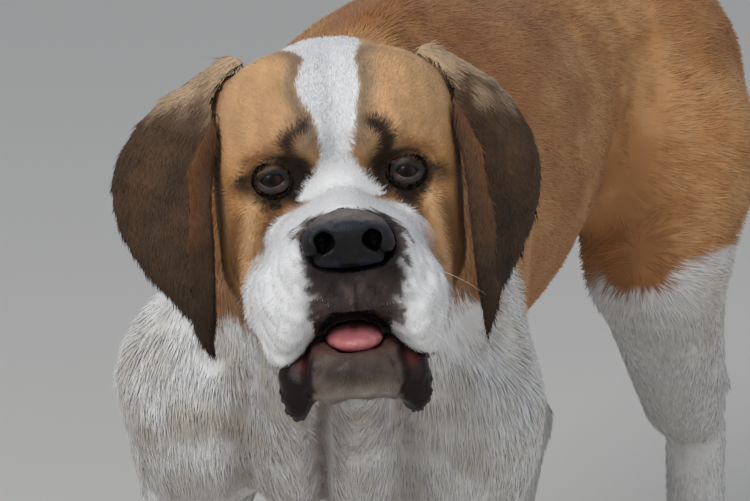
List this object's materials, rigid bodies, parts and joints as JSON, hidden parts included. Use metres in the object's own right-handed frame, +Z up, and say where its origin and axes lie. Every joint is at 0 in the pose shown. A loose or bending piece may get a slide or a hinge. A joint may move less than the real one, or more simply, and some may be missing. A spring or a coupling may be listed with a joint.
{
  "type": "saint bernard",
  "caption": "Life-size standing Saint Bernard with a short coat, its head low and turned to its left, with hanging ears, heavy flews and the tongue's tip showing.",
  "frame": {"origin": "the middle of the model's box, on the floor that its four paws stand on", "axes": "+Z up, -Y the way the dog faces, +X its left side"},
  "size_m": [0.4506, 1.3722, 0.785],
  "materials": {
    "tan_coat": "short smooth coat, orange tan with darker tips",
    "white_coat": "short smooth coat, white",
    "dark_ear": "very short dark brown coat",
    "mottled_lip": "moist bare skin, mottled dark",
    "nose_leather": "moist pebbled skin, black grey",
    "tongue": "moist pink",
    "eye": "wet and dark brown"
  },
  "bodies": {
    "root": {"head": "tan_coat", "torso": "tan_coat", "tail": "tan_coat", "thigh_left": "tan_coat", "thigh_right": "tan_coat", "neck": "white_coat", "foreleg_left": "white_coat", "foreleg_right": "white_coat", "forepaw_left": "white_coat", "forepaw_right": "white_coat", "shank_left": "white_coat", "shank_right": "white_coat", "hindpaw_left": "white_coat", "hindpaw_right": "white_coat", "ear_left": "dark_ear", "ear_right": "dark_ear", "lower_jaw": "mottled_lip", "nose": "nose_leather", "tongue": "tongue", "eye_left": "eye", "eye_right": "eye"}
  },
  "joints": []
}
